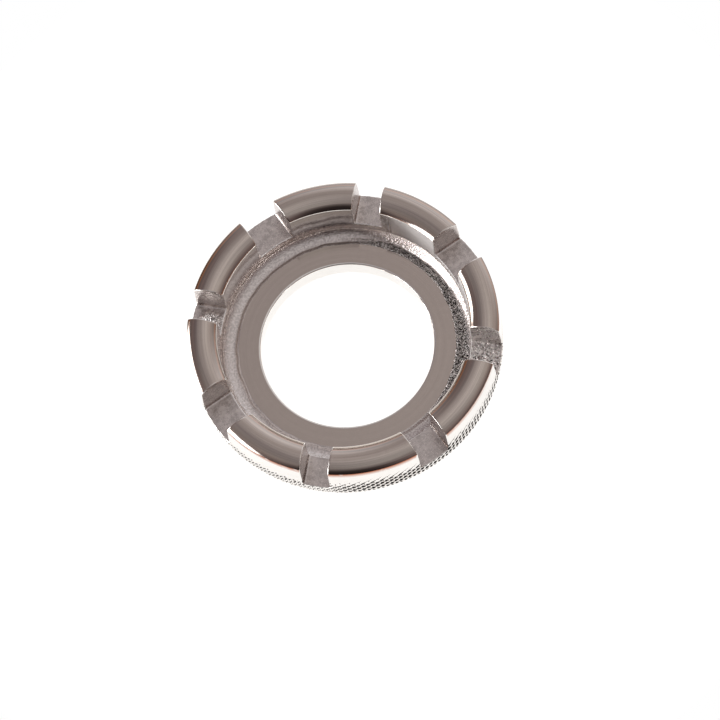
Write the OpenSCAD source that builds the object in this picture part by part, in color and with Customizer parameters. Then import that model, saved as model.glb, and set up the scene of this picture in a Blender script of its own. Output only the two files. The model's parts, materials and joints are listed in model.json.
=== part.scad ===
// Round spoke wrench: a one-piece plated ring with a knurled grip.
// Eight slots of graded width cross its crown, one for each size of spoke nipple.
// Lengths are in millimetres. The ring stands on its flat foot, centred on the Z axis.

/* [Grip] */
// Diameter over the knurled grip
grip_d = 38; // [36:0.5:48]
// Height of the top of the grip, where the knurl runs out
grip_top_h = 4.8; // [3.5:0.1:6]
// Radius of the rounded corner between the grip and the foot
foot_r = 3.5; // [0.5:0.1:4]

/* [Flange] */
// Diameter of the hole through the middle
bore_d = 21; // [16:0.5:23]
// Thickness of the flange round the hole
flange_t = 2.8; // [2:0.1:3.6]
// Width of the faced pad round the hole
pad_w = 2.8; // [1.5:0.1:3.2]
// Depth of the as-cast gutter between the pad and the crown
gutter_depth = 0.3; // [0.1:0.05:0.6]
// Slope in degrees to which the dished gutter rises at the crown
gutter_slope = 50; // [20:1:80]
// Broken edge at both ends of the hole
bore_chamfer = 0.25; // [0.1:0.05:0.5]

/* [Crown] */
// Height of the crest of the crown above the foot
crest_h = 9.6; // [8.5:0.1:13]
// Thickness of the crown's wall at the crest
crown_t = 3.5; // [2.8:0.1:4]
// How far the grip stands proud of the crown
grip_proud = 0.35; // [0.1:0.05:0.8]
// Drop of the domed land from its crest to its inner edge
land_drop = 0.9; // [0.4:0.1:1.5]
// How far the crest lies outside the middle of the wall
crest_shift = 0.1; // [0:0.05:0.2]

/* [Slots] */
// Height of the slot floors above the foot
slot_floor_h = 4.6; // [3.8:0.1:6]
// Radius in the bottom corners of a slot
slot_corner_r = 0.6; // [0.2:0.1:1.2]
// Width of the slot on the +X side, and then of each next one counterclockwise
slot_1_w = 5.15; // [2.8:0.05:6]
// Width of the second slot
slot_2_w = 3.4; // [2.8:0.05:6]
// Width of the third slot
slot_3_w = 4.8; // [2.8:0.05:6]
// Width of the fourth slot
slot_4_w = 3.65; // [2.8:0.05:6]
// Width of the fifth slot
slot_5_w = 5.45; // [2.8:0.05:6]
// Width of the sixth slot, the narrowest
slot_6_w = 3.3; // [2.8:0.05:6]
// Width of the seventh slot
slot_7_w = 4; // [2.8:0.05:6]
// Width of the eighth slot
slot_8_w = 4.1; // [2.8:0.05:6]

/* [Hidden] */

$fn = 128;
// How far a cut runs past the faces that it opens
overrun = 0.5;

slot_widths = [slot_1_w, slot_2_w, slot_3_w, slot_4_w, slot_5_w, slot_6_w, slot_7_w, slot_8_w];
slot_step = 360 / len(slot_widths);

grip_r = grip_d / 2;
bore_r = bore_d / 2;
pad_r = bore_r + pad_w;
crown_r = grip_r - grip_proud;
recess_r = crown_r - crown_t;
gutter_h = flange_t - gutter_depth;

// The gutter is an arc that starts level at the foot of the pad and ends at the crown's wall
gutter_foot_r = pad_r + gutter_depth;
gutter_w = recess_r - gutter_foot_r;
gutter_dish_r = gutter_w / sin(gutter_slope);

// The land is an arc over the wall, through its crest and its inner edge
crest_r = crown_r - crown_t / 2 + crest_shift;
land_half_w = crest_r - recess_r;
land_r = (land_half_w * land_half_w + land_drop * land_drop) / (2 * land_drop);
land_centre_h = crest_h - land_r;

// Half section of the ring with plain corners, from the hole out to the grip
module blank_section() {
    polygon([
        [bore_r + bore_chamfer, 0],
        [grip_r, 0],
        [grip_r, grip_top_h],
        [crown_r, crest_h],
        [recess_r, crest_h],
        [recess_r, gutter_h],
        [gutter_foot_r, gutter_h],
        [pad_r, flange_t],
        [bore_r + bore_chamfer, flange_t],
        [bore_r, flange_t - bore_chamfer],
        [bore_r, bore_chamfer]
    ]);
}

// Everything that lies under the dome of the lands
module under_dome() {
    square([grip_r + overrun, land_centre_h]);
    translate([crest_r, land_centre_h]) circle(land_r);
}

// Metal under the dish of the gutter, let into the two faces that it joins
module gutter_dish() {
    translate([gutter_foot_r, gutter_h + gutter_dish_r])
        difference() {
            translate([0, -gutter_dish_r - overrun]) square([gutter_w + overrun, gutter_dish_r + overrun]);
            circle(gutter_dish_r);
        }
}

// Waste outside the rounded corner of the foot
module foot_corner() {
    translate([grip_r - foot_r, foot_r])
        difference() {
            translate([0, -foot_r - overrun]) square(foot_r + overrun);
            circle(foot_r);
        }
}

module ring_section() {
    difference() {
        union() {
            intersection() {
                blank_section();
                under_dome();
            }
            gutter_dish();
        }
        foot_corner();
    }
}

// Cross section of a slot: straight flanks and rounded bottom corners
module slot_section(w) {
    corner_x = w / 2 - slot_corner_r;
    corner_h = slot_floor_h + slot_corner_r;
    translate([-w / 2, corner_h]) square([w, crest_h + overrun - corner_h]);
    translate([-corner_x, slot_floor_h]) square([2 * corner_x, slot_corner_r + overrun]);
    for (side = [-1, 1]) translate([side * corner_x, corner_h]) circle(slot_corner_r);
}

// One slot, cut outward from the axis along +X
module nipple_slot(w) {
    rotate([90, 0, 90]) linear_extrude(grip_r + overrun) slot_section(w);
}

module slotted_ring() {
    color("silver")
    difference() {
        rotate_extrude() ring_section();
        for (k = [0 : len(slot_widths) - 1]) rotate(k * slot_step) nipple_slot(slot_widths[k]);
    }
}

slotted_ring();
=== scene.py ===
"""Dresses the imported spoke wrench: its plated skin with the knurl, and a plain studio to show it in."""

import json
import math

import bmesh
import bpy
import numpy as np
from bpy.props import FloatProperty, FloatVectorProperty, IntProperty, PointerProperty
from mathutils import Matrix, Vector


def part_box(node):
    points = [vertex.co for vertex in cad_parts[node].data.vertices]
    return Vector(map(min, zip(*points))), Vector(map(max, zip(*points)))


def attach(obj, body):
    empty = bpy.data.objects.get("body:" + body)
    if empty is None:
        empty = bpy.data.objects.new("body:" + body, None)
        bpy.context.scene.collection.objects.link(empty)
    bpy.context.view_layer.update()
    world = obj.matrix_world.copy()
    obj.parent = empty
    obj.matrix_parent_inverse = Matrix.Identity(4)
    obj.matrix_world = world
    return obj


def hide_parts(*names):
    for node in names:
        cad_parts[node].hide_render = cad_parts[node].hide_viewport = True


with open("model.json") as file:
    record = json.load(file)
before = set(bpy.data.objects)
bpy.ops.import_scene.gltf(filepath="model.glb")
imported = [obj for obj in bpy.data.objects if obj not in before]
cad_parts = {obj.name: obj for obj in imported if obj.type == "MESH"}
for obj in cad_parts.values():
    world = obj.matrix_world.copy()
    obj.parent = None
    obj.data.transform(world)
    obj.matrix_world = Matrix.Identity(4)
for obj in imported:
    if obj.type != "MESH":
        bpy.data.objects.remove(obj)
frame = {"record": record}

bl_info = {
    "name": "Spoke Wrench Dressing",
    "version": (1, 0, 0),
    "blender": (4, 5, 0),
    "location": "View3D > Sidebar > Spoke Wrench",
    "description": "Builds the plated skin of a round spoke wrench and a plain studio round it",
    "category": "Object",
}

MM = 0.001
NODE = "slotted_ring"

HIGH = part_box(NODE)[1]
MOUNTS = {mount["name"]: mount for mount in frame["record"]["mounts"]}
SLOTS = [mount for name, mount in MOUNTS.items() if name.startswith("nipple_slot")]

# Numbers of the finishes, in the order of the ring's materials
PLATE, LAND, WALL, SLOT, CAST = range(5)

# Sides of the ring: direction of the middle in degrees, then gain and offset of the cosine round it
# Side on which painted shade lies along the knurl's rising grooves, as of light from one side
STREAK_SHADE_SIDE = (-85, 4, 2.6)
WORN_SIDE = (-125, 1.6, 0.3)
CONE_SIDE = (-12, 2.2, 0.9)
ROUGH_SIDE = (-12, 2, 0.6)

# Knurl: steepness of the grooves, direction in degrees in which it is deepest and highest, how much deeper
# it is there, and diamonds that it takes to run out under the grip
KNURL_FLANK = 2.3
KNURL_HIGH_SIDE = -105
KNURL_PRESS = 0.35
KNURL_FOOT_RUN = 1.0
# Gain of the dirt and painted shade where grooves cross, gain and offset of the painted shade along a
# rising groove, and the share that this shade and the falling grooves take from each other
DOT_GAIN = 1.3
LINE_GAIN = 3.6
LINE_OFFSET = 0.6
FAINT_SHARE = 0.5
# Share of the knurl that is missing in the slots' mouths, and how far from their sides that takes
MOUTH_CALM = 0.7
MOUTH_FADE = 0.3 * MM

# How far down the wall the lands' outer edges are worn, and how far over the land, in widths of its edge
WORN_WIDTH = 0.8 * MM
WORN_ROLLS = 1.5

# Cone on one side of the gutter: radius at which it starts, softness of that corner, slope in the direction
# of +X, and how much steeper it is in the direction of +Y
CONE_START = 14.15 * MM
CONE_SOFT = 0.06 * MM
CONE_SLOPE = 0.97
CONE_TURN = 0.27

# Sand in the gutter: radius that it reaches, how softly it ends, direction in degrees in which it reaches
# further, how much further, and how sharply that ends round the ring
SAND_REACH = 14.2 * MM
SAND_FADE = 0.25 * MM
SAND_WIDE_SIDE = -50
SAND_SWELL = 1.0 * MM
SAND_SWELL_END = 6.25
# Sandy patches in the slots: the place of each and its radius, in millimetres, and where they end, in radii
SANDY = ((11.2, -12.8, 2.6), (-12.2, 11.4, 1.2))
SANDY_EDGE = 1.5

# As-cast bumps: share of them on the smooth side, width of the slow waves in bumps, and shares of those
# waves on the smooth side and, added to that, on the rough side
CALM_BUMPS = 0.06
WAVE_WIDTH = 4
CALM_WAVES = 0.15
ROUGH_WAVES = 0.3
# Widths of the blur that go once round the ring, in the wander of the pad's rim
RIM_WAVES = 160

# Grid columns and rows for each diamond of the knurl, and share of a column that slots' edges keep clear
KNURL_CELLS = 6
CLEAR_SHARE = 0.4
# Rows of the grid: across a land, the pad and the gutter, round the foot's lower corner, a rolled edge and
# the pad's rim, up the recess wall below the slots, and along any other plain wall
LAND_ROWS = 18
PAD_ROWS = 5
DISH_ROWS = 12
HEEL_ROWS = 8
ROLL_ROWS = 4
LIP_ROWS = 3
RECESS_ROWS = 4
PLAIN_ROWS = 3
# Distance of the extra row beside an edge, and of the jaws' lower end from the slots' floors
EDGE_ROW = 0.04 * MM
JAW_BELOW = 0.4 * MM
# Radius of the rounding at the pad's rim, in shares of the gutter's depth, and half the slope of that rim
LIP_SHARE = 0.98
LIP_HALF = math.radians(22.5)
# Points closer than this are one, normals closer to level than this are level, and ones below the last
# number face down
WELD = 0.002 * MM
LEVEL = 1e-6
DOWNWARD = -0.5

# Roughness of dirt, and of the recess wall where it is frosted, and the stretch in which that sets in
DIRT_ROUGHNESS = 0.4
FROST_ROUGHNESS = 0.65
FROST_START = 9.5 * MM
FROST_END = 13 * MM

# Lights of the studio: direction and height in degrees, size from bright core to dark rim, and colour
LIGHTS = {
    "ceiling": (22, 42, 13, 60, (0.256, 0.25, 0.235)),
    "right ceiling": (312, 66, 1, 47, (0.183, 0.196, 0.187)),
    "left ceiling": (188, 66, 26, 46, (0.091, 0.096, 0.085)),
    "backdrop": (41, -3, 7, 64, (0.416, 0.463, 0.514)),
    "key": (140, 4, 13, 19, (6.5, 6.6, 6.7)),
    "second key": (170, 8, 14, 20, (6.5, 6.6, 6.7)),
}
# Black flag in front of the object, in the same terms, and the share of the light that it takes away
FLAG = (231, 19, 8, 38, 0.85)
# Colours of the room behind the lights, by the sine of the height
ROOM = (
    (-0.2, (0.1, 0.07, 0.06)),
    (-0.02, (0.14, 0.07, 0.045)),
    (0.1, (0.42, 0.2, 0.11)),
    (0.25, (0.156, 0.132, 0.136)),
    (0.5, (0.243, 0.19, 0.188)),
    (0.71, (0.217, 0.181, 0.19)),
    (0.87, (0.243, 0.214, 0.231)),
    (1.0, (0.208, 0.171, 0.199)),
)
# Share of the floor's colour that the lights show, the floor's rings and sides, and the camera's near and
# far limits in shares of its distance
FLOOR_MATT = 0.4
FLOOR_RINGS = 8
FLOOR_SIDES = 96
NEAR_SHARE = 0.01
FAR_SHARE = 100


def length(name, description, metres):
    """A length that a user may change, in metres."""
    return FloatProperty(name=name, description=description, default=metres, unit="LENGTH", precision=6)


def share(name, description, value):
    """A number from 0 to 1 that a user may change."""
    return FloatProperty(name=name, description=description, default=value, min=0, max=1, subtype="FACTOR")


def colour(name, description, value):
    """A linear colour that a user may change."""
    return FloatVectorProperty(name=name, description=description, default=value, size=3, subtype="COLOR",
                               min=0, max=1)


def angle(name, description, degrees):
    """An angle that a user may change."""
    return FloatProperty(name=name, description=description, default=math.radians(degrees), subtype="ANGLE")


class SpokeWrenchRing(bpy.types.PropertyGroup):
    """Sizes of the ring's section and of its slots."""

    grip_r: length("Grip radius", "Radius over the knurl", HIGH.x)
    grip_top: length("Grip top", "Height at which the wall starts to taper", 4.8 * MM)
    foot_r: length("Foot corner", "Radius of the rounded corner under the grip", 3.5 * MM)
    bore_r: length("Bore radius", "Radius of the hole", MOUNTS["bore"]["dims"]["r_mm"] * MM)
    bore_edge: length("Bore edge", "Rounding at both ends of the hole", 0.25 * MM)
    flange_t: length("Flange", "Thickness of the flange round the hole", 2.8 * MM)
    pad_w: length("Pad width", "Width of the faced pad round the hole", 2.8 * MM)
    gutter_depth: length("Gutter depth", "Drop from the pad to the cast gutter", 0.3 * MM)
    gutter_slope: angle("Gutter slope", "Slope to which the dished gutter rises at the crown", 50)
    gutter_corner: length("Gutter corner", "Rounding where the gutter meets the crown", 0.2 * MM)
    crest_h: length("Crest height", "Height of the crown's crest", HIGH.z)
    crown_t: length("Crown wall", "Thickness of the crown's wall", 3.5 * MM)
    grip_proud: length("Grip proud", "How far the grip stands proud of the crown", 0.35 * MM)
    land_drop: length("Land drop", "Drop of the domed land from its crest to its inner edge", 0.9 * MM)
    crest_shift: length("Crest shift", "How far the crest lies outside the wall's middle", 0.1 * MM)
    slot_floor: length("Slot floor", "Height of the slot floors", SLOTS[0]["pos_m"][2])
    slot_corner: length("Slot corner", "Radius in the bottom corners of a slot", 0.14 * MM)
    slot_widths: FloatVectorProperty(
        name="Slot widths", description="Widths counterclockwise from the slot on +X",
        size=8, unit="LENGTH", default=[w * MM for w in (5.15, 3.4, 4.8, 3.65, 5.45, 3.3, 4.0, 4.1)])
    slot_edge: length("Slot edge", "Rounding of the edges round a slot's mouth", 0.1 * MM)
    land_edge: length("Land edge", "Rounding of the two long edges of a land", 0.18 * MM)


class SpokeWrenchTexture(bpy.types.PropertyGroup):
    """Sizes of the knurl and of the as-cast skin."""

    knurl_count: IntProperty(name="Knurl count", description="Diamonds round the grip", default=104)
    knurl_pitch: length("Knurl pitch", "Height of one diamond", 0.96 * MM)
    knurl_depth: length("Knurl depth", "Mean depth of the knurl's grooves", 0.22 * MM)
    knurl_full: length("Knurl full height", "Height up to which the knurl has its full depth", 4.9 * MM)
    knurl_end: length("Knurl end", "Mean height at which the falling grooves have run out", 5.6 * MM)
    knurl_lead: length("Knurl lead", "How much higher the rising grooves run out", 1.3 * MM)
    knurl_lean: length("Knurl lean", "How far the run-out rises and falls round the ring", 0.4 * MM)
    knurl_foot: length("Knurl foot", "Arc of the foot's corner that has the full knurl", 1.5 * MM)
    grain_depth: length("Cast grain", "Height of the bumps in the as-cast gutter", 0.045 * MM)
    grain_size: length("Cast grain size", "Width of the bumps in the as-cast gutter", 0.14 * MM)
    rim_wander: length("Pad rim wander", "How far the pad's outer rim strays from a circle", 0.05 * MM)
    seed: IntProperty(name="Seed", description="Start of the random numbers", default=7)


class SpokeWrenchFinish(bpy.types.PropertyGroup):
    """Colours and gloss of the plating where it is polished, turned, milled or cast."""

    plate_colour: colour("Plate", "Polished plate", (0.9, 0.87, 0.83))
    land_colour: colour("Land", "Turned lands and faced pad", (0.56, 0.49, 0.44))
    wall_colour: colour("Recess wall", "Inside wall of the crown", (0.9, 0.87, 0.85))
    slot_colour: colour("Slot", "Milled slots", (0.7, 0.64, 0.61))
    cast_colour: colour("Gutter", "As-cast gutter", (0.76, 0.7, 0.67))
    # Dark colour of the painted shade in the knurl, partly dirt there, and in the sand's pits
    dirt_and_shade_colour: colour("Dirt", "Dirt in the knurl and in the cast skin's pits", (0.022, 0.018, 0.017))
    wear_colour: colour("Wear", "Copper under the plate, on the lands' worn edges", (0.45, 0.17, 0.09))
    plate_roughness: share("Plate roughness", "Roughness of the polished plate", 0.07)
    land_roughness: share("Land roughness", "Roughness of the lands and the pad", 0.11)
    wall_roughness: share("Wall roughness", "Roughness of the recess wall", 0.12)
    slot_roughness: share("Slot roughness", "Roughness of the milled slots", 0.28)
    grit_roughness: share("Grit roughness", "Roughness of the cast skin on its rough side", 0.13)
    cast_roughness: share("Gutter roughness", "Roughness of the as-cast gutter", 0.17)


class SpokeWrenchStage(bpy.types.PropertyGroup):
    """The camera at the photograph's angle, and the floor of a plain studio."""

    azimuth: angle("Azimuth", "Direction that the camera looks from", -21.4)
    elevation: angle("Elevation", "Height of the camera above the horizon", 68.5)
    roll: angle("Roll", "Turn of the camera about its line of sight", 14.1)
    distance: length("Distance", "From the camera to the middle of the flange", 371.3 * MM)
    lens: FloatProperty(name="Lens", description="Focal length of the camera", default=153.5, unit="CAMERA")
    photo_size: IntProperty(name="Photo size", description="Side of the picture in pixels", default=720)
    middle_px: FloatVectorProperty(
        name="Middle", description="Pixel of the middle of the flange's top",
        size=2, default=(347.1, 344.6))
    floor_r: length("Floor radius", "Radius of the floor", 60 * MM)
    floor_colour: colour("Floor", "Colour of the floor", (1, 1, 1))
    floor_glow: share("Floor glow", "Share of the floor's white that no shadow reaches", 0.93)


def derived(ring):
    """The section's other sizes, worked out from the ones that a user sets."""
    crown_r = ring.grip_r - ring.grip_proud
    recess_r = crown_r - ring.crown_t
    crest_r = crown_r - ring.crown_t / 2 + ring.crest_shift
    half_w = crest_r - recess_r
    land_r = (half_w ** 2 + ring.land_drop ** 2) / (2 * ring.land_drop)
    pad_r = ring.bore_r + ring.pad_w
    gutter_r = pad_r + ring.gutter_depth
    return {
        "recess_r": recess_r,
        "crest_r": crest_r,
        "land_r": land_r,
        "land_centre_h": ring.crest_h - land_r,
        "pad_r": pad_r,
        "gutter_r": gutter_r,
        "gutter_h": ring.flange_t - ring.gutter_depth,
        "dish_r": (recess_r - gutter_r) / math.sin(ring.gutter_slope),
        "corner_h": ring.slot_floor + ring.slot_corner,
        "widths": np.array(ring.slot_widths),
        "slot_angles": np.array([math.atan2(m["pos_m"][1], m["pos_m"][0]) % math.tau for m in SLOTS]),
    }


def facing(turn, side):
    """How far a direction belongs to a side: a clipped cosine of its angle from the side's middle."""
    middle, gain, offset = side
    return np.clip(gain * np.cos(turn - math.radians(middle)) - offset, 0, 1)


def smooth(part):
    """A share from 0 to 1, eased at both ends by the smoothstep polynomial."""
    return part * part * (3 - 2 * part)


def wall_radius(ring, height):
    """Radius of the outer wall at a height: plain up to the grip's top, then a taper to the crest."""
    rise = np.clip((height - ring.grip_top) / (ring.crest_h - ring.grip_top), 0, 1)
    return ring.grip_r - ring.grip_proud * rise


def radius_of(points):
    """Distance of points from the ring's axis."""
    return np.hypot(points[..., 0], points[..., 1])


def polar(radius, turn, height):
    """Points from their radius, angle and height, with all three spread to one shape."""
    radius, turn, height = np.broadcast_arrays(radius, turn, height)
    return np.stack([radius * np.cos(turn), radius * np.sin(turn), height], axis=-1)


def knurl(ring, texture, turn, climb):
    """Depth of the knurl and its dirt and painted shade, at an angle and at a height above the slots'
    corners.

    Two families of V grooves wind round the grip in opposite directions. A point's distance to the nearest
    groove of a family, in shares of the pitch, gives its height on that groove's flank, and the deeper
    family counts. Where a roller runs out, its grooves get shallower and so narrower, until they end, and
    the roller of the grooves that rise counterclockwise runs out higher. Both press harder on one side of
    the ring. Dirt and painted shade lie where two grooves cross, by the shallower of the two. On one side
    painted shade, as of light from that side, lies all along the rising grooves instead, and there the
    falling ones are shallow.
    """
    across = turn * texture.knurl_count / math.tau
    along = climb / texture.knurl_pitch
    height = climb + ring.slot_floor + ring.slot_corner
    side = np.cos(turn - math.radians(KNURL_HIGH_SIDE))
    run_out = KNURL_FOOT_RUN * texture.knurl_pitch
    foot = (height - (ring.foot_r - texture.knurl_foot - run_out)) / run_out
    depths = []
    for way, lead in ((1, 0), (-1, texture.knurl_lead)):
        end = texture.knurl_end + lead + texture.knurl_lean * side
        groove = across + way * along
        ridge = np.minimum(1, KNURL_FLANK * np.abs(groove - np.round(groove)))
        reach = np.clip(np.minimum((end - height) / (end - texture.knurl_full), foot), 0, 1)
        depths.append(np.maximum(0, reach - ridge))
    falling, rising = depths
    press = texture.knurl_depth * (1 + KNURL_PRESS * side)
    streaks = facing(turn, STREAK_SHADE_SIDE)
    cut = press * np.maximum(falling * (1 - FAINT_SHARE * streaks), rising)
    # Painted shade: dark dots, partly dirt, where two grooves cross, and on one side dark lines along the
    # rising grooves
    dots = DOT_GAIN * np.minimum(falling, rising)
    lines = np.clip(LINE_GAIN * rising - LINE_OFFSET, 0, 1) * (1 - FAINT_SHARE * falling)
    return cut, dots + streaks * (lines - dots)


def groove_split(texture, turn, climb, cut):
    """Which way each cell's diagonal runs to follow the nearest groove, and 0 where nothing is cut."""
    middle_turn = (turn[:-1, :-1] + turn[1:, 1:]) / 2
    middle_climb = (climb[:-1, :-1] + climb[1:, 1:]) / 2
    across = middle_turn * texture.knurl_count / math.tau
    along = middle_climb / texture.knurl_pitch
    up = np.abs(across - along - np.round(across - along))
    down = np.abs(across + along - np.round(across + along))
    deepest = np.maximum(np.maximum(cut[:-1, :-1], cut[1:, 1:]), np.maximum(cut[:-1, 1:], cut[1:, :-1]))
    rising = (up < down) == (middle_climb[:1] < middle_climb[-1:]).all()
    return np.where(deepest > 0, np.where(rising, 1, -1), 0)


class Columns:
    """The columns of the ring's grid, which run along the slots' sides and fan out over the jaws between.

    Every column has an angle at the grip, on the lattice of the knurl except at the slots' edges. Inside a
    slot a column keeps its distance from the slot's middle plane at every radius. On a jaw it keeps its
    share of the way between the edges of the two slots beside it.
    """

    def __init__(self, ring, texture, sizes):
        count = texture.knurl_count * KNURL_CELLS
        step = math.tau / count
        self.middle = sizes["slot_angles"]
        self.half = sizes["widths"] / 2 + ring.slot_edge
        reach = np.arcsin(self.half / ring.grip_r)
        edges = np.column_stack([self.middle - reach, self.middle + reach]).ravel()
        lattice = (np.ceil(edges[0] / step) + np.arange(count)) * step
        ring_of_edges = np.append(edges, edges[0] + math.tau)
        gap = np.abs(lattice[:, None] - ring_of_edges).min(axis=1)
        self.turn = np.sort(np.concatenate([edges, lattice[gap > CLEAR_SHARE * step]]))
        stretch = np.searchsorted(edges, self.turn, side="right") - 1
        self.slot = stretch // 2
        self.in_slot = stretch % 2 == 0
        self.offset = ring.grip_r * np.sin(self.turn - self.middle[self.slot])
        following = np.append(self.middle[1:], self.middle[0] + math.tau)
        self.next_middle = following[self.slot]
        self.next_half = np.roll(self.half, -1)[self.slot]
        start = edges[1::2][self.slot]
        end = ring_of_edges[2::2][self.slot]
        self.share = (self.turn - start) / (end - start)
        self.edge_at = np.searchsorted(self.turn, edges)

    def angles(self, radius):
        """Angle of each column at a radius, which has one value, or a row of values, for each grid row."""
        radius = np.asarray(radius)
        inside = self.middle[self.slot] + np.arcsin(np.clip(self.offset / radius, -1, 1))
        left = self.middle[self.slot] + np.arcsin(self.half[self.slot] / radius)
        right = self.next_middle - np.arcsin(self.next_half / radius)
        return np.where(self.in_slot, inside, left + self.share * (right - left))

    def slot_columns(self, k):
        """Numbers of the columns in a slot, with both of its edges."""
        return np.arange(self.edge_at[2 * k], self.edge_at[2 * k + 1] + 1)

    def jaw_columns(self, k):
        """Numbers of the columns on the jaw after a slot, with both of its edges."""
        count = len(self.turn)
        end = self.edge_at[2 * k + 2] if 2 * k + 2 < len(self.edge_at) else count
        return np.arange(self.edge_at[2 * k + 1], end + 1) % count


def arc(centre, radius, start, end, steps, hollow=False):
    """Points and normals along an arc of the section, between two angles in degrees."""
    turn = np.radians(np.linspace(start, end, steps + 1))
    ray = np.column_stack([np.cos(turn), np.sin(turn)])
    return np.asarray(centre) + radius * ray, -ray if hollow else ray


def line(start, end, steps, margin=0.0):
    """Points and normals along a straight line of the section, with an extra row a margin from each end."""
    start, end = np.asarray(start, float), np.asarray(end, float)
    size = np.linalg.norm(end - start)
    at = np.linspace(0, 1, steps + 1)
    if margin:
        inner = np.linspace(margin / size, 1 - margin / size, max(steps - 1, 2))
        at = np.concatenate([[0], inner, [1]])
    points = start + at[:, None] * (end - start)
    along = (end - start) / size
    return points, np.tile([-along[1], along[0]], (len(points), 1))


def chain(stretches):
    """Joins stretches of the section end to end. Gives points, normals and the finish of each step."""
    points = [stretches[0][1][0][:1]]
    normals = [stretches[0][1][1][:1]]
    finish = []
    for kind, (stretch, normal) in stretches:
        points.append(stretch[1:])
        normals.append(normal[1:])
        finish.append(np.full(len(stretch) - 1, kind))
    return np.concatenate(points), np.concatenate(normals), np.concatenate(finish)


def lower_section(ring, texture, sizes, wall_low, recess_low):
    """The section below the slots, from the outer wall round the foot and the hole to the recess wall.

    The pad's rim is a slope of 45 degrees between two small arcs. The gutter is an arc that starts level at
    the foot of that rim, and a smaller arc turns it into the recess wall.
    """
    row = texture.knurl_pitch / KNURL_CELLS
    edge = ring.bore_edge
    bore, top = ring.bore_r, ring.flange_t
    pad, gutter = sizes["pad_r"], sizes["gutter_h"]
    heel = (ring.grip_r - ring.foot_r, ring.foot_r)
    knurled = math.degrees((texture.knurl_foot + KNURL_FOOT_RUN * texture.knurl_pitch) / ring.foot_r)
    knurled_rows = round(math.radians(knurled) * ring.foot_r / row)
    wall_rows = max(2, round((wall_low - ring.foot_r) / row))
    lip = LIP_SHARE * ring.gutter_depth
    slip = lip * math.tan(LIP_HALF)
    aside = slip * math.cos(2 * LIP_HALF)
    fall = lip * (1 - math.cos(2 * LIP_HALF))
    foot, dish = sizes["gutter_r"], sizes["dish_r"]
    recess, turn_in = sizes["recess_r"], ring.gutter_corner
    reach = recess - turn_in - foot
    corner_h = gutter + dish - math.sqrt((dish - turn_in) ** 2 - reach ** 2)
    steep = math.degrees(math.asin(reach / (dish - turn_in))) - 90
    level = math.degrees(math.asin(slip / dish)) - 90
    return chain([
        (PLATE, line((ring.grip_r, wall_low), (ring.grip_r, ring.foot_r), wall_rows)),
        (PLATE, arc(heel, ring.foot_r, 0, -knurled, knurled_rows)),
        (PLATE, arc(heel, ring.foot_r, -knurled, -90, HEEL_ROWS)),
        (PLATE, line((heel[0], 0), (bore + edge, 0), PLAIN_ROWS, EDGE_ROW)),
        (PLATE, arc((bore + edge, edge), edge, -90, -180, ROLL_ROWS)),
        (PLATE, line((bore, edge), (bore, top - edge), PLAIN_ROWS, EDGE_ROW)),
        (PLATE, arc((bore + edge, top - edge), edge, 180, 90, ROLL_ROWS)),
        (LAND, line((bore + edge, top), (pad - slip, top), PAD_ROWS, EDGE_ROW)),
        (CAST, arc((pad - slip, top - lip), lip, 90, 45, LIP_ROWS)),
        (CAST, line((pad + aside, top - fall), (foot - aside, gutter + fall), 1)),
        (CAST, arc((foot + slip, gutter + lip), lip, 225, 270, LIP_ROWS, hollow=True)),
        (CAST, arc((foot, gutter + dish), dish, level, steep, DISH_ROWS, hollow=True)),
        (CAST, arc((recess - turn_in, corner_h), turn_in, steep, 0, ROLL_ROWS, hollow=True)),
        (WALL, line((recess, corner_h), (recess, recess_low), RECESS_ROWS)),
    ])


def land_section(ring, sizes):
    """The domed land with a small roll along both long edges, from the outer wall to the recess wall.

    The dome is an arc. Each roll is an arc that touches both the dome and a wall: its centre lies one roll
    radius inside the wall's line, and one roll radius inside the dome.
    """
    roll = ring.land_edge
    dome = np.array([sizes["crest_r"], sizes["land_centre_h"]])
    taper = np.array([-ring.grip_proud, ring.crest_h - ring.grip_top])
    taper /= np.linalg.norm(taper)
    walls = (
        (np.array([ring.grip_r, ring.grip_top]), taper, np.array([taper[1], -taper[0]])),
        (np.array([sizes["recess_r"], 0]), np.array([0, 1]), np.array([-1, 0])),
    )
    centres, starts, ends = [], [], []
    for foot, along, out in walls:
        start = foot - roll * out
        near = np.dot(dome - start, along)
        aside = np.linalg.norm(start + near * along - dome)
        centre = start + (near + math.sqrt((sizes["land_r"] - roll) ** 2 - aside ** 2)) * along
        centres.append(centre)
        starts.append(math.degrees(math.atan2(out[1], out[0])))
        ends.append(math.degrees(math.atan2(*(centre - dome)[::-1])))
    return chain([
        (PLATE, arc(centres[0], roll, starts[0], ends[0], ROLL_ROWS)),
        (LAND, arc(dome, sizes["land_r"], ends[0], ends[1], LAND_ROWS)),
        (PLATE, arc(centres[1], roll, ends[1], starts[1], ROLL_ROWS)),
    ])


def grain(shape, row_blur, column_blur, seed):
    """Smooth noise on a grid that closes round its columns, with a spread of 1.

    White noise from a fixed seed is blurred by a Gaussian both ways, as a product of their spectra.
    """
    noise = np.random.default_rng(seed).standard_normal(shape)
    rows = np.fft.fftfreq(shape[0])[:, None] * row_blur
    columns = np.fft.fftfreq(shape[1]) * column_blur
    blur = np.exp(-2 * math.pi ** 2 * (rows ** 2 + columns ** 2))
    blurred = np.fft.ifft2(np.fft.fft2(noise) * blur).real
    return blurred / blurred.std()


def grit(radius, turn):
    """How sandy the gutter is: fully on its rough side, falling smoothly to nothing elsewhere.

    It reaches from the pad to a radius, which swells outwards in one direction.
    """
    swell = np.exp(SAND_SWELL_END * (np.cos(turn - math.radians(SAND_WIDE_SIDE)) - 1))
    inside = np.clip((SAND_REACH + SAND_SWELL * swell - radius) / SAND_FADE, 0, 1)
    return smooth(facing(turn, ROUGH_SIDE)) * inside


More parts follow.
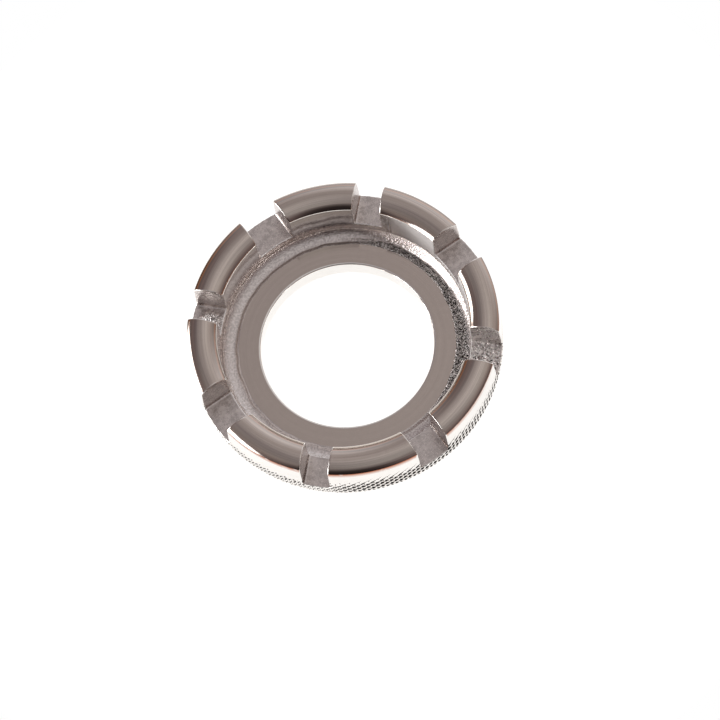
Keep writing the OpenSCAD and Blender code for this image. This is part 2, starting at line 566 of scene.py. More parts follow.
def sand(points):
    """How sandy the slots are: fully inside the patches of SANDY, falling evenly to their ends."""
    rough = np.zeros(len(points))
    for x, y, reach in SANDY:
        away = np.hypot(points[:, 0] - x * MM, points[:, 1] - y * MM) / (reach * MM)
        rough = np.maximum(rough, np.clip(SANDY_EDGE - away, 0, 1))
    return rough


class Skin:
    """Collects grids of points into the faces of one mesh."""

    def __init__(self):
        self.points, self.faces, self.finish, self.flat = [], [], [], []
        self.values = {"across": [], "dirt": [], "wear": []}
        self.count = 0

    def add(self, points, finish, split=None, **values):
        """Adds a grid of points. finish has one number for each step between rows, or one for all of them.

        Where split isn't None, the cells that the knurl cuts become pairs of flat triangles. Their diagonal
        follows the nearest groove: split is 1 where it rises with the column, -1 where it falls, and 0
        elsewhere. The values are numbers that the points carry, 0 where none are given.
        """
        rows, columns = points.shape[:2]
        number = self.count + np.arange(rows * columns).reshape(rows, columns)
        self.count += rows * columns
        self.points.append(points.reshape(-1, 3))
        for name, store in self.values.items():
            store.append(np.broadcast_to(values.get(name, 0.0), (rows, columns)).ravel())
        a, b = number[:-1, :-1].ravel(), number[:-1, 1:].ravel()
        c, d = number[1:, 1:].ravel(), number[1:, :-1].ravel()
        kinds = np.broadcast_to(np.reshape(finish, (-1, 1)), (rows - 1, columns - 1)).ravel()
        cut = np.zeros(len(a), int) if split is None else split.ravel()
        whole, rising, falling = cut == 0, cut > 0, cut < 0
        for corners, chosen in (((a, b, c, d), whole), ((a, b, c), rising), ((a, c, d), rising),
                                ((a, b, d), falling), ((b, c, d), falling)):
            self.faces += np.column_stack(corners)[chosen].tolist()
            self.finish.append(kinds[chosen])
            self.flat.append(np.full(chosen.sum(), len(corners) == 3))

    def mesh(self, name):
        """One closed mesh of all the grids: close points become one, and faces turn outwards."""
        points = np.concatenate(self.points)
        mesh = bpy.data.meshes.new(name)
        mesh.from_pydata(points, [], self.faces)
        mesh.polygons.foreach_set("material_index", np.concatenate(self.finish).astype(np.int32))
        mesh.polygons.foreach_set("use_smooth", ~np.concatenate(self.flat))
        values = {title: np.concatenate(store) for title, store in self.values.items()}
        values["grit"] = grit(radius_of(points), np.arctan2(points[:, 1], points[:, 0]))
        values["sand"] = sand(points)
        for title, value in values.items():
            layer = mesh.attributes.new(title, "FLOAT", "POINT")
            layer.data.foreach_set("value", value.astype(np.float32))
        shell = bmesh.new()
        shell.from_mesh(mesh)
        bmesh.ops.remove_doubles(shell, verts=shell.verts, dist=WELD)
        bmesh.ops.recalc_face_normals(shell, faces=shell.faces)
        if any(not edge.is_manifold for edge in shell.edges):
            raise RuntimeError(f"{name}: the skin has an open edge")
        shell.to_mesh(mesh)
        shell.free()
        return mesh


class Ring:
    """Works out the ring's skin, patch by patch, with the slots' mouths rolled over by the slot edge."""

    def __init__(self, ring, texture):
        self.ring, self.texture = ring, texture
        self.sizes = derived(ring)
        self.columns = Columns(ring, texture, self.sizes)
        self.skin = Skin()
        self.corner_h = self.sizes["corner_h"]
        row = texture.knurl_pitch / KNURL_CELLS
        self.wall_low = self.corner_h - KNURL_CELLS * row
        self.recess_low = ring.slot_floor - JAW_BELOW
        self.land, self.land_normal, self.land_finish = land_section(ring, self.sizes)
        knurl_top = texture.knurl_end + texture.knurl_lead + texture.knurl_lean
        knurled = np.arange(0, math.ceil((knurl_top - self.corner_h) / row) + 1)
        fade = self.corner_h + knurled * row
        wall_top = self.land[0, 1]
        plain = np.linspace(fade[-1], wall_top - WORN_WIDTH, PLAIN_ROWS + 1)[1:]
        outer = np.concatenate([fade, plain, [wall_top]])
        self.rise = (outer - self.corner_h) / (wall_top - self.corner_h)

    def outer_wall(self, height, turn):
        """Radius of the knurled outer wall at heights and angles, with the knurl's cut and its dirt and
        painted shade.
        """
        cut, dirt = knurl(self.ring, self.texture, turn, height - self.corner_h)
        return wall_radius(self.ring, height) - cut, cut, dirt

    def recess_fade(self, section, normal, start, low):
        """1 on the recess outside a radius and up to a height, falling to 0 at the jaws' lower end."""
        r, z = section.T
        inside = (r > start) & (normal[:, 0] <= 0) & (normal[:, 1] >= -LEVEL)
        above = np.clip((self.recess_low - z) / (self.recess_low - low), 0, 1)
        return np.where(inside, above, 0)[:, None]

    def add_lower(self):
        """The whole ring below the slots, as one band that runs from the outer wall round to the recess."""
        ring, texture, sizes, columns = self.ring, self.texture, self.sizes, self.columns
        section, normal, finish = lower_section(ring, texture, sizes, self.wall_low, self.recess_low)
        r, z = section.T
        step = np.linalg.norm(np.diff(section, axis=0), axis=1)
        climb = (self.wall_low - self.corner_h - np.concatenate([[0], np.cumsum(step)]))[:, None]
        outside = (normal[:, 0] > 0) & (r > sizes["recess_r"])
        turn = np.broadcast_to(columns.turn, (len(r), len(columns.turn)))
        cut, dirt = np.where(outside[:, None], knurl(ring, texture, turn, climb), 0)
        under = np.clip((r - ring.bore_r) / (ring.grip_r - ring.foot_r - ring.bore_r), 0, 1)
        under = np.where(normal[:, 1] < DOWNWARD, under, np.where(outside, 1, 0))
        reach = sizes["recess_r"] + under * (ring.grip_r - sizes["recess_r"])
        angles = columns.angles(reach[:, None] - cut)
        lift = self.cast_grain(section, normal, finish, angles) - cut
        radius = r[:, None] + lift * normal[:, :1] + self.rim_wander(section, angles)
        height = z[:, None] + lift * normal[:, 1:] + self.gutter_cone(section, normal, angles)

        def wrap(grid, extra=0):
            return np.concatenate([grid, grid[:, :1] + extra], axis=1)

        points = wrap(polar(radius, angles, height))
        climb = np.broadcast_to(climb, turn.shape)
        split = groove_split(texture, wrap(turn, math.tau), wrap(climb), wrap(cut))
        self.skin.add(points, finish, split, across=radius_of(points), dirt=wrap(dirt))

    def cast_grain(self, section, normal, finish, angles):
        """Height of the as-cast bumps, which fade out at the pad's rim and up the recess wall.

        It is the sum of two smooth noises, one in slow waves, and both are higher where it is sandy.
        """
        texture, sizes = self.texture, self.sizes
        cast = section[np.append(finish, -1) == CAST]
        across = texture.grain_size / np.median(np.linalg.norm(np.diff(cast, axis=0), axis=1))
        around = texture.grain_size / (math.tau * sizes["recess_r"] / angles.shape[1])
        bumps = grain(angles.shape, across, around, texture.seed)
        waves = grain(angles.shape, WAVE_WIDTH * across, WAVE_WIDTH * around, texture.seed + 1)
        side = grit(section[:, :1], angles)
        height = (CALM_BUMPS + (1 - CALM_BUMPS) * side) * bumps + (CALM_WAVES + ROUGH_WAVES * side) * waves
        fade = self.recess_fade(section, normal, sizes["pad_r"], sizes["gutter_h"])
        return texture.grain_depth * fade * height

    def gutter_cone(self, section, normal, angles):
        """How far the gutter lies above its dish on the side where it is a flat ring and then a cone.

        The cone's height is a softened ramp of the radius, steeper with the sine of the angle. Above the
        gutter the step fades out up the wall.
        """
        sizes = self.sizes
        foot, dish = sizes["gutter_r"], sizes["dish_r"]
        r = section[:, 0]
        along = np.maximum(0, np.minimum(r, sizes["recess_r"]) - foot)
        rise = dish - np.sqrt(np.maximum(0, dish ** 2 - along ** 2))
        ramp = CONE_SOFT * np.logaddexp(0, (r - CONE_START) / CONE_SOFT)
        cone = ramp[:, None] * (CONE_SLOPE + CONE_TURN * np.sin(angles))
        fade = self.recess_fade(section, normal, foot, sizes["gutter_h"] + rise[-1])
        return (cone - rise[:, None]) * fade * smooth(facing(angles, CONE_SIDE))

    def rim_wander(self, section, angles):
        """How far the pad's rim strays outwards, most at the rim and nothing at the hole and the wall.

        Smooth noise round the ring is faded by a Gaussian of the distance from the rim's middle.
        """
        r, z = section.T
        count = angles.shape[1]
        wave = grain((3, count), 1, count / RIM_WAVES, self.texture.seed + 2)[1]
        width = self.ring.gutter_depth
        near = np.exp(-(((r - self.sizes["pad_r"] - width / 2) / width) ** 2))
        level = (z > self.sizes["gutter_h"] - width) & (z < self.ring.flange_t + width)
        return self.texture.rim_wander * np.where(level, near, 0)[:, None] * wave

    def add_jaw(self, k):
        """One jaw of the crown, from the outer wall over the land to the recess wall."""
        ring, sizes, columns = self.ring, self.sizes, self.columns
        low = np.linspace(self.wall_low, self.corner_h, KNURL_CELLS + 1)
        wall = np.concatenate([low[:-1], self.corner_h + self.rise * (self.land[0, 1] - self.corner_h)])
        recess = np.concatenate([self.corner_h + self.rise[::-1] * (self.land[-1, 1] - self.corner_h),
                                 np.linspace(self.corner_h, self.recess_low, PLAIN_ROWS + 1)[1:]])
        wall, recess = wall[:, None], recess[:, None]
        numbers = columns.jaw_columns(k)
        nominal = wall_radius(ring, wall)
        turn = columns.angles(nominal)[:, numbers]
        turn = np.where(turn < turn[:, :1], turn + math.tau, turn)
        radius, cut, dirt = self.outer_wall(wall, turn)
        all_cut = np.zeros((len(wall), len(columns.turn)))
        all_cut[:, numbers] = cut
        outside = polar(radius, columns.angles(nominal - all_cut)[:, numbers], wall)
        climb = np.broadcast_to(wall - self.corner_h, turn.shape)
        front = facing(columns.turn[numbers], WORN_SIDE)
        worn = np.where(np.arange(len(wall)) == len(wall) - 1, 1, 0)
        self.skin.add(outside, PLATE, groove_split(self.texture, turn, climb, cut),
                      across=wall, dirt=dirt, wear=worn[:, None] * front)
        over = polar(self.land[:, :1], columns.angles(self.land[:, :1])[:, numbers], self.land[:, 1:])
        worn = np.clip(WORN_ROLLS - np.arange(len(self.land)) / ROLL_ROWS, 0, 1)
        self.skin.add(over, self.land_finish, across=self.land[:, :1], wear=worn[:, None] * front)
        inside = polar(sizes["recess_r"], columns.angles(sizes["recess_r"])[numbers], recess)
        self.skin.add(inside, WALL, across=recess)

    def in_slot(self, k, radius, at, up):
        """Points at distances from a slot's middle plane, by their radius and height."""
        return polar(radius, self.columns.middle[k] + np.arcsin(at / radius), up)

    def slot_wall(self, k, at, up):
        """The outer wall in a slot's mouth, as outer_wall gives it, with a faint knurl near the floor.

        The share that is missing grows from the slot's sides inwards, and with the square of the height.
        """
        turn = self.columns.middle[k] + np.arcsin(at / wall_radius(self.ring, up))
        radius, cut, dirt = self.outer_wall(up, turn)
        within = np.clip((self.sizes["widths"][k] / 2 - np.abs(at)) / MOUTH_FADE, 0, 1)
        near = np.clip((up - self.wall_low) / (self.ring.slot_floor - self.wall_low), 0, 1)
        calm = MOUTH_CALM * within * near ** 2
        return radius + calm * cut, (1 - calm) * cut, (1 - calm) * dirt

    def mouth(self, k):
        """The slot's cross section along its sides and floor, with one value for each column of the grid.

        Gives the offset from the middle plane, the height at the slot's corners or floor, the share of the
        rise up a side, and the direction in which the mouth's edge is rolled away from the opening.
        """
        ring, columns = self.ring, self.columns
        half = self.sizes["widths"][k] / 2
        at = columns.offset[columns.slot_columns(k)[1:-1]]
        bend = np.abs(at) - (half - ring.slot_corner)
        lean = np.where(bend > 0, bend / (ring.slot_corner + ring.slot_edge), 0)
        drop = np.sqrt(1 - np.clip(lean, 0, 1) ** 2)
        bent_at = np.sign(at) * (half - ring.slot_corner + ring.slot_corner * lean)
        floor_at = np.where(bend > 0, bent_at, at)
        floor_h = np.where(bend > 0, self.corner_h - ring.slot_corner * drop, ring.slot_floor)
        side = np.ones(len(self.rise))
        offset = np.concatenate([-half * side, floor_at, half * side])
        height = np.concatenate([self.corner_h * side, floor_h, self.corner_h * side])
        rise = np.concatenate([self.rise[::-1], np.zeros(len(at)), self.rise])
        away = np.column_stack([
            np.concatenate([-side, np.sign(at) * lean, side]),
            np.concatenate([0 * side, -drop, 0 * side])])
        return offset, height, rise, away

    def add_slot(self, k):
        """One slot: the rolled edge all round its mouth, and its channel between the two walls."""
        edge = self.ring.slot_edge
        half = self.sizes["widths"][k] / 2
        offset, height, rise, away = self.mouth(k)
        roll = np.linspace(0, math.pi / 2, ROLL_ROWS)[:, None]
        spread, depth = edge * (1 - np.cos(roll)), edge * (1 - np.sin(roll))
        outer_h = height + rise * (self.land[0, 1] - self.corner_h)
        inner_h = height + rise * (self.land[-1, 1] - self.corner_h)
        tilt = self.land_normal[0]
        at, up = offset + spread * away[:, 0], outer_h + spread * away[:, 1]
        radius, _, dirt = self.slot_wall(k, at, up)
        rolled = self.in_slot(k, radius - depth * tilt[0], at, up - depth * tilt[1] * rise)
        self.skin.add(rolled, PLATE, dirt=dirt)
        up = inner_h + spread * away[:, 1]
        self.skin.add(self.in_slot(k, self.sizes["recess_r"] + depth, at, up), WALL)
        r, z = (self.land[:, axis] - depth * self.land_normal[:, axis] for axis in (0, 1))
        for side in (-1, 1):
            self.skin.add(self.in_slot(k, r, side * (half + spread), z), PLATE)
        self.add_channel(k, offset, height, rise, outer_h, inner_h)

    def add_channel(self, k, offset, height, rise, outer_h, inner_h):
        """A slot's floor and sides: straight along the floor, and more like the land higher up a side."""
        edge = self.ring.slot_edge
        inset = self.land - edge * self.land_normal
        up = rise[:, None]
        way = (inset[:, 0] - inset[-1, 0]) / (inset[0, 0] - inset[-1, 0])
        way = up * way + (1 - up) * np.linspace(1, 0, len(way))
        outer_r = self.slot_wall(k, offset, outer_h)[0] - edge * self.land_normal[0, 0]
        r = inset[-1, 0] + way * (outer_r[:, None] - inset[-1, 0])
        level = inner_h[:, None] + way * (outer_h - inner_h)[:, None]
        z = np.where(up > 0, height[:, None] + up * (inset[:, 1] - self.corner_h), level)
        steps = np.hypot(np.diff(offset), np.diff(height + rise * self.ring.slot_corner))
        path = np.concatenate([[0], np.cumsum(steps)])
        self.skin.add(self.in_slot(k, r, offset[:, None], z), SLOT, across=(path + k)[:, None])

    def add_sill(self, k):
        """The walls under the two ends of a slot's floor, the knurled one and the plain one inside."""
        ring = self.ring
        at = self.columns.offset[self.columns.slot_columns(k)]
        bend = np.maximum(0, np.abs(at) - (self.sizes["widths"][k] / 2 - ring.slot_corner))
        rim = self.corner_h - np.sqrt(np.maximum(0, (ring.slot_corner + ring.slot_edge) ** 2 - bend ** 2))
        up = self.wall_low + np.linspace(0, 1, KNURL_CELLS + 1)[:, None] * (rim - self.wall_low)
        radius, cut, dirt = self.slot_wall(k, at, up)
        turn = self.columns.middle[k] + np.arcsin(at / wall_radius(ring, up))
        self.skin.add(self.in_slot(k, radius, at, up), PLATE,
                      groove_split(self.texture, turn, up - self.corner_h, cut), dirt=dirt)
        up = self.recess_low + np.linspace(0, 1, PLAIN_ROWS + 1)[:, None] * (rim - self.recess_low)
        self.skin.add(self.in_slot(k, np.full_like(up, self.sizes["recess_r"]), at, up), WALL)

    def build(self, name):
        """All the patches of the ring as one closed mesh."""
        self.add_lower()
        for k in range(len(self.columns.middle)):
            self.add_jaw(k)
            self.add_slot(k)
            self.add_sill(k)
        return self.skin.mesh(name)


class Shader:
    """A short way to write a material's nodes."""

    def __init__(self, tree):
        self.tree = tree

    def node(self, kind, settings=(), **inputs):
        """A node of a kind, with settings on the node and values or links on its inputs."""
        node = self.tree.nodes.new(kind)
        for name, value in dict(settings).items():
            setattr(node, name, value)
        for name, value in inputs.items():
            self.put(node, name, value)
        return node

    def put(self, node, name, value):
        """Sets an input by its name, or by its number, to a value or to a link."""
        key = int(name[1:]) if name[0] == "i" and name[1:].isdigit() else name.replace("_", " ")
        socket = node.inputs[key]
        if isinstance(value, bpy.types.NodeSocket):
            self.tree.links.new(value, socket)
        else:
            socket.default_value = value

    def place(self):
        """The point's place in the object."""
        return self.node("ShaderNodeTexCoord").outputs["Object"]

    def carried(self, name):
        """A value that the mesh carries on its points."""
        return self.node("ShaderNodeAttribute", {"attribute_name": name}).outputs["Fac"]

    def math(self, operation, first, second):
        """The result of one operation on two values or links."""
        return self.node("ShaderNodeMath", {"operation": operation}, i0=first, i1=second).outputs[0]

    def times(self, first, second):
        """The product of two values or links."""
        return self.math("MULTIPLY", first, second)

    def dot(self, first, second):
        """The dot product of two vectors."""
        return self.node("ShaderNodeVectorMath", {"operation": "DOT_PRODUCT"},
                         i0=first, i1=second).outputs["Value"]

    def spread(self, value, low, high, start=0.0, end=1.0):
        """A value moved from one range to another, clamped."""
        return self.node("ShaderNodeMapRange", {"clamp": True}, Value=value, From_Min=low, From_Max=high,
                         To_Min=start, To_Max=end).outputs[0]

    def mix(self, factor, first, second):
        """A blend of two colours."""
        return self.node("ShaderNodeMix", {"data_type": "RGBA"}, i0=factor, i6=first, i7=second).outputs[2]

    def noise(self, vector, scale, detail=2.0, roughness=0.5):
        """Noise from 0 to 1 at a vector."""
        return self.node("ShaderNodeTexNoise", Vector=vector, Scale=scale, Detail=detail,
                         Roughness=roughness).outputs[0]

    def bump(self, height, strength, distance, below=None):
        """A normal bent by a height."""
        node = self.node("ShaderNodeBump", Strength=strength, Distance=distance, Height=height)
        if below is not None:
            self.put(node, "Normal", below)
        return node.outputs[0]


def rgba(value, shade=1.0):
    """A colour times a shade, with its alpha."""
    return (*(min(1, shade * c) for c in value), 1)


def metal(name, roughness, make):
    """A metal material. Its make function gets the shader, and gives its colour, roughness and normal."""
    material = bpy.data.materials.new(name)
    material.use_nodes = True
    shader = Shader(material.node_tree)
    principled = material.node_tree.nodes["Principled BSDF"]
    shader.put(principled, "Metallic", 1)
    shader.put(principled, "Roughness", roughness)
    for socket, value in zip(("Base Color", "Roughness", "Normal"), make(shader)):
        shader.put(principled, socket, value)
    return material


def tool_marks(shader, across, fine, slow):
    """Coordinates that change fast across the tool marks and slowly along them."""
    x, y, _ = shader.node("ShaderNodeSeparateXYZ", Vector=shader.place()).outputs
    return shader.node("ShaderNodeCombineXYZ", X=shader.times(x, slow), Y=shader.times(y, slow),
                       Z=shader.times(across, fine)).outputs[0]


def axis_distance(shader):
    """Distance from the ring's axis."""
    level = shader.node("ShaderNodeVectorMath", {"operation": "MULTIPLY"}, i0=shader.place(), i1=(1, 1, 0))
    size = shader.node("ShaderNodeVectorMath", {"operation": "LENGTH"}, i0=level.outputs[0])
    return size.outputs["Value"]


def polished_plate(finish):
    """Bright plate with a faint ripple, dirt and painted shade in the knurl, and a little copper along the
    worn edges.
    """
    def make(shader):
        place = shader.place()
        cloud = shader.spread(shader.noise(place, scale=400), low=0.3, high=0.7)
        base = shader.mix(cloud, rgba(finish.plate_colour), rgba(finish.plate_colour, shade=0.95))
        rubbed = shader.spread(shader.noise(place, scale=700, detail=3), low=0.25, high=0.45)
        base = shader.mix(shader.times(shader.carried("wear"), rubbed), base, rgba(finish.wear_colour))
        # Painted shade: the knurl's dots and lines darken the plate towards the dark colour and make it
        # rougher
        dirt = shader.spread(shader.carried("dirt"), low=0.25, high=0.5)
        ripple = shader.noise(place, scale=900, detail=3)
        return (shader.mix(dirt, base, rgba(finish.dirt_and_shade_colour)),
                shader.spread(dirt, 0, 1, finish.plate_roughness, DIRT_ROUGHNESS),
                shader.bump(ripple, strength=0.25, distance=0.02 * MM))
    return metal("polished_plate", finish.plate_roughness, make)


def turned_land(finish):
    """Satin metal with turning marks round the axis, strong on the crown's lands and faint on the pad."""
    def make(shader):
        place = shader.place()
        height = shader.node("ShaderNodeSeparateXYZ", Vector=place).outputs[2]
        crown = shader.spread(height, low=3 * MM, high=5 * MM, start=0.25)
        out = axis_distance(shader)
        fine = shader.noise(tool_marks(shader, out, fine=9000, slow=90), scale=1, detail=3, roughness=0.6)
        wide = shader.noise(tool_marks(shader, out, fine=2600, slow=25), scale=1)
        mottle = shader.noise(place, scale=1500, detail=3, roughness=0.6)
        marks = shader.times(shader.math("SUBTRACT", shader.times(fine, wide), 0.25), crown)
        tone = shader.spread(shader.math("ADD", marks, shader.times(mottle, 0.1)), low=-0.1, high=0.2)
        gloss = finish.land_roughness
        dull, bright = (rgba(finish.land_colour, shade) for shade in (0.86, 1.14))
        return (shader.mix(tone, dull, bright),
                shader.spread(wide, low=0.3, high=0.7, start=0.75 * gloss, end=1.25 * gloss),
                shader.bump(shader.times(fine, crown), strength=0.5, distance=0.007 * MM))
    return metal("turned_land", finish.land_roughness, make)


def recess_wall(finish):
    """Plated wall, smooth but a little uneven, and frosted on the side where the gutter is sandy."""
    def make(shader):
        place = shader.place()
        side = math.radians(ROUGH_SIDE[0])
        along = shader.dot(place, (math.cos(side), math.sin(side), 0))
        swell = shader.noise(place, scale=700)
        tone = shader.spread(swell, low=0.3, high=0.7)
        return (shader.mix(tone, rgba(finish.wall_colour), rgba(finish.wall_colour, shade=0.93)),
                shader.spread(along, FROST_START, FROST_END, finish.wall_roughness, FROST_ROUGHNESS),
                shader.bump(swell, strength=0.3, distance=0.03 * MM))
    return metal("recess_wall", finish.wall_roughness, make)


def milled_slot(finish):
    """Satin metal with scratches along the slot, and sandy where the casting shows through."""
    def make(shader):
        place = shader.place()
        marks = tool_marks(shader, shader.carried("across"), fine=6000, slow=300)
        scratch = shader.noise(marks, scale=1, detail=3, roughness=0.65)
        mottle = shader.noise(place, scale=1600, detail=4, roughness=0.7)
        tone = shader.spread(mottle, low=0.38, high=0.62)
        base = shader.mix(tone, rgba(finish.slot_colour, shade=0.75), rgba(finish.slot_colour, shade=1.1))
        sandy = shader.carried("sand")
        sand = shader.noise(place, scale=4200, detail=2, roughness=0.7)
        base = shader.mix(sandy, base, rgba(finish.wall_colour))
        # Painted shade: the sand's pits are darkened towards the dark colour
        shaded_pits = shader.times(shader.spread(sand, low=0.46, high=0.42), sandy)
        relief = shader.times(sand, shader.spread(sandy, 0, 1, start=0.03, end=1.6))
        low = shader.bump(relief, strength=1, distance=0.4 * MM)
        gloss = finish.slot_roughness
        return (shader.mix(shaded_pits, base, rgba(finish.dirt_and_shade_colour)),
                shader.spread(mottle, low=0.38, high=0.62, start=0.7 * gloss, end=1.3 * gloss),
                shader.bump(scratch, strength=0.5, distance=0.015 * MM, below=low))
    return metal("milled_slot", finish.slot_roughness, make)


def cast_gutter(finish):
    """As-cast skin under the plating, which is sandy and glitters on its rough side."""
    def make(shader):
        rough = shader.carried("grit")
        sand = shader.noise(shader.place(), scale=4400, detail=2, roughness=0.7)
        tone = shader.spread(sand, low=0.4, high=0.6)
        skin = shader.mix(tone, rgba(finish.cast_colour, shade=0.8), rgba(finish.cast_colour))
        skin = shader.mix(rough, skin, rgba(finish.wall_colour))
        # Painted shade: the sand's pits are darkened towards the dark colour
        shaded_pits = shader.times(shader.spread(sand, low=0.48, high=0.43), rough)
        relief = shader.times(sand, shader.spread(rough, 0, 1, start=0.11, end=1.6))
        return (shader.mix(shaded_pits, skin, rgba(finish.dirt_and_shade_colour)),
                shader.spread(rough, 0, 1, finish.cast_roughness, finish.grit_roughness),
                shader.bump(relief, strength=1, distance=0.5 * MM))
    return metal("cast_gutter", finish.cast_roughness, make)


def patch(shader, direction, turn, rise, core, rim):
    """A round patch of the sky: 1 within its core, falling smoothly to 0 at its rim, all in degrees."""
    turn, rise, core, rim = (math.radians(value) for value in (turn, rise, core, rim))
    centre = (math.cos(turn) * math.cos(rise), math.sin(turn) * math.cos(rise), math.sin(rise))
    return shader.node("ShaderNodeMapRange", {"interpolation_type": "SMOOTHSTEP"},
                       Value=shader.dot(direction, centre), From_Min=math.cos(rim),
                       From_Max=math.cos(core)).outputs[0]


def sky():
    """The studio: white to the camera, and otherwise a dim room with a few soft lights and a black flag."""
    world = bpy.data.worlds.new("studio")
    world.use_nodes = True
    shader = Shader(world.node_tree)
    world.node_tree.nodes.clear()
    direction = shader.node("ShaderNodeTexCoord").outputs["Generated"]
    height = shader.node("ShaderNodeSeparateXYZ", Vector=direction).outputs[2]
    low, high = ROOM[0][0], ROOM[-1][0]
    ramp = shader.node("ShaderNodeValToRGB", Fac=shader.spread(height, low, high))
    stops = ramp.color_ramp.elements
    while len(stops) < len(ROOM):
        stops.new(1)
    for stop, (at, tone) in zip(stops, ROOM):
        stop.position = (at - low) / (high - low)
        stop.color = rgba(tone)
    total = ramp.outputs[0]
    # A light may be brighter than 1, so its colour isn't held to that as rgba does
    for *place, tone in LIGHTS.values():
        total = shader.node("ShaderNodeMix", {"data_type": "RGBA", "blend_type": "ADD"},
                            i0=patch(shader, direction, *place), i6=total, i7=(*tone, 1)).outputs[2]
    *place, share_lost = FLAG
    shade = shader.times(patch(shader, direction, *place), share_lost)
    total = shader.mix(shade, total, (0, 0, 0, 1))
    camera = shader.node("ShaderNodeLightPath").outputs["Is Camera Ray"]
    tone = shader.mix(camera, total, (1, 1, 1, 1))
    background = shader.node("ShaderNodeBackground", Color=tone, Strength=1.0)
    shader.node("ShaderNodeOutputWorld", Surface=background.outputs[0])
    bpy.context.scene.world = world


def floor_white(stage):
    """White floor that glows to the camera and in reflections, and still takes the object's shadow."""
    material = bpy.data.materials.new("floor_white")
    material.use_nodes = True
    shader = Shader(material.node_tree)
    material.node_tree.nodes.clear()
    path = shader.node("ShaderNodeLightPath").outputs
    seen = shader.math("MAXIMUM", path["Is Camera Ray"],
                       shader.math("MAXIMUM", path["Is Glossy Ray"], path["Is Transmission Ray"]))
    glow = shader.node("ShaderNodeEmission", Color=rgba(stage.floor_colour),
                       Strength=shader.times(seen, stage.floor_glow))
    matt = shader.node("ShaderNodeBsdfDiffuse", Color=rgba(stage.floor_colour, FLOOR_MATT))
    both = shader.node("ShaderNodeAddShader", i0=glow.outputs[0], i1=matt.outputs[0])
    shader.node("ShaderNodeOutputMaterial", Surface=both.outputs[0])
    return material


def floor_mesh(radius):
    """A disc as a grid of rings: radius times the square root of the ring's share, turned once round."""
    rings = np.sqrt(np.linspace(0, 1, FLOOR_RINGS + 1))[1:]
    turn = np.linspace(0, math.tau, FLOOR_SIDES + 1)[:-1]
    points = polar(radius * rings[:, None], turn, 0).reshape(-1, 3)
    number = np.arange(points.shape[0]).reshape(len(rings), len(turn))
    following = np.roll(number, -1, axis=1)
    quads = np.stack([number[:-1], number[1:], following[1:], following[:-1]], axis=-1).reshape(-1, 4)
    mesh = bpy.data.meshes.new("floor")
    mesh.from_pydata(points, [], quads.tolist() + [number[0].tolist()])
    return mesh


def link(name, data):
    """A new object in the scene, at the origin."""
    piece = bpy.data.objects.new(name, data)
    bpy.context.scene.collection.objects.link(piece)
    return piece


class SPOKEWRENCH_OT_ring(bpy.types.Operator):
    """Builds the plated ring over its solid"""

    bl_idname = "spoke_wrench.ring"
    bl_label = "Plated Ring"

    def execute(self, context):
        """The ring's skin, its five finishes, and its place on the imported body."""
        scene = context.scene
        mesh = Ring(scene.wrench_ring, scene.wrench_texture).build("plated_ring")
        for make in (polished_plate, turned_land, recess_wall, milled_slot, cast_gutter):
            mesh.materials.append(make(scene.wrench_finish))
        piece = link("plated_ring", mesh)
        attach(piece, "root")
        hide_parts(NODE)
        return {"FINISHED"}


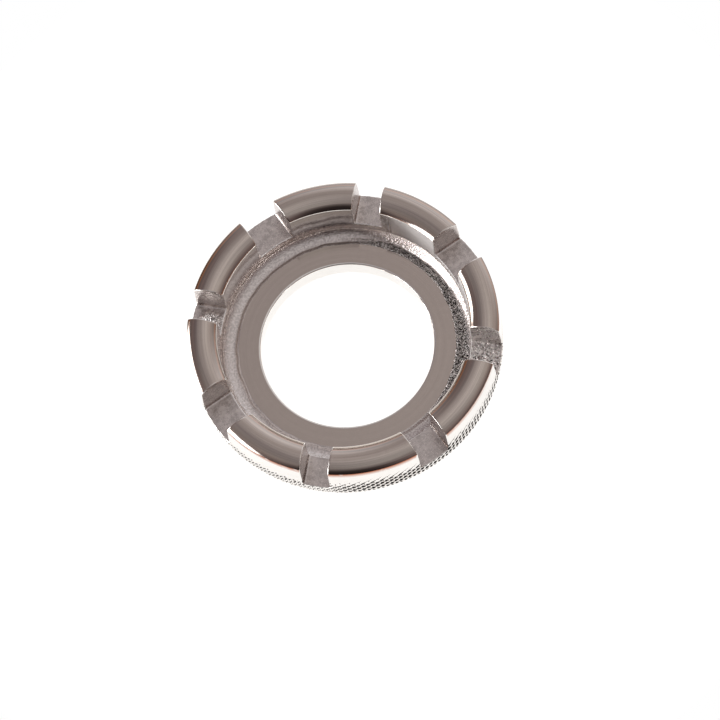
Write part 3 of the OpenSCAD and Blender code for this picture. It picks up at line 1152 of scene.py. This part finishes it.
class SPOKEWRENCH_OT_stage(bpy.types.Operator):
    """Sets up the camera, the floor and the light"""

    bl_idname = "spoke_wrench.stage"
    bl_label = "Studio"

    def execute(self, context):
        """Camera at the photograph's angle, white floor, and soft lights in a dim room."""
        scene = context.scene
        stage = scene.wrench_stage
        scene.view_settings.view_transform = "Standard"
        floor = link("floor", floor_mesh(stage.floor_r))
        floor.data.materials.append(floor_white(stage))
        sky()
        self.add_camera(scene, stage)
        return {"FINISHED"}

    def add_camera(self, scene, stage):
        """Puts the middle of the flange's top on its pixel, with the camera rolled about its sight line."""
        a, e = stage.azimuth, stage.elevation
        back = Vector((math.sin(a) * math.cos(e), -math.cos(a) * math.cos(e), math.sin(e)))
        level = Vector((math.cos(a), math.sin(a), 0))
        upright = back.cross(level)
        right = math.cos(stage.roll) * level - math.sin(stage.roll) * upright
        up = math.sin(stage.roll) * level + math.cos(stage.roll) * upright
        data = bpy.data.cameras.new("camera")
        data.lens = stage.lens
        pixel = stage.distance * data.sensor_width / stage.lens / stage.photo_size
        middle = stage.photo_size / 2
        target = Vector((0, 0, scene.wrench_ring.flange_t))
        target += right * (middle - stage.middle_px[0]) * pixel
        target -= up * (middle - stage.middle_px[1]) * pixel
        place = target + back * stage.distance
        camera = link("camera", data)
        camera.matrix_world = Matrix((
            (right.x, up.x, back.x, place.x),
            (right.y, up.y, back.y, place.y),
            (right.z, up.z, back.z, place.z),
            (0, 0, 0, 1)))
        data.clip_start = stage.distance * NEAR_SHARE
        data.clip_end = stage.distance * FAR_SHARE
        scene.camera = camera


class SPOKEWRENCH_PT_panel(bpy.types.Panel):
    """Lists the sizes and the steps of the spoke wrench"""

    bl_label = "Spoke Wrench"
    bl_idname = "SPOKEWRENCH_PT_panel"
    bl_space_type = "VIEW_3D"
    bl_region_type = "UI"
    bl_category = "Spoke Wrench"

    def draw(self, context):
        """One block for each group of values, and a button for each step."""
        for name, (label, kind) in GROUPS.items():
            box = self.layout.box()
            box.label(text=label)
            for key in kind.__annotations__:
                box.prop(getattr(context.scene, name), key)
        for step in STEPS:
            self.layout.operator(step.bl_idname)


STEPS = (SPOKEWRENCH_OT_stage, SPOKEWRENCH_OT_ring)
GROUPS = {
    "wrench_ring": ("Ring", SpokeWrenchRing),
    "wrench_texture": ("Texture", SpokeWrenchTexture),
    "wrench_finish": ("Finish", SpokeWrenchFinish),
    "wrench_stage": ("Studio", SpokeWrenchStage),
}
CLASSES = (*(kind for _, kind in GROUPS.values()), *STEPS, SPOKEWRENCH_PT_panel)


def register():
    """Registers the values, the steps and the panel."""
    for kind in CLASSES:
        bpy.utils.register_class(kind)
    for name, (_, kind) in GROUPS.items():
        setattr(bpy.types.Scene, name, PointerProperty(type=kind))


def unregister():
    """Takes back what register did."""
    for name in GROUPS:
        delattr(bpy.types.Scene, name)
    for kind in reversed(CLASSES):
        bpy.utils.unregister_class(kind)


def main():
    """Runs the steps in order."""
    register()
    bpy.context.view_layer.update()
    bpy.ops.spoke_wrench.stage()
    bpy.ops.spoke_wrench.ring()


if __name__ == "__main__":
    main()
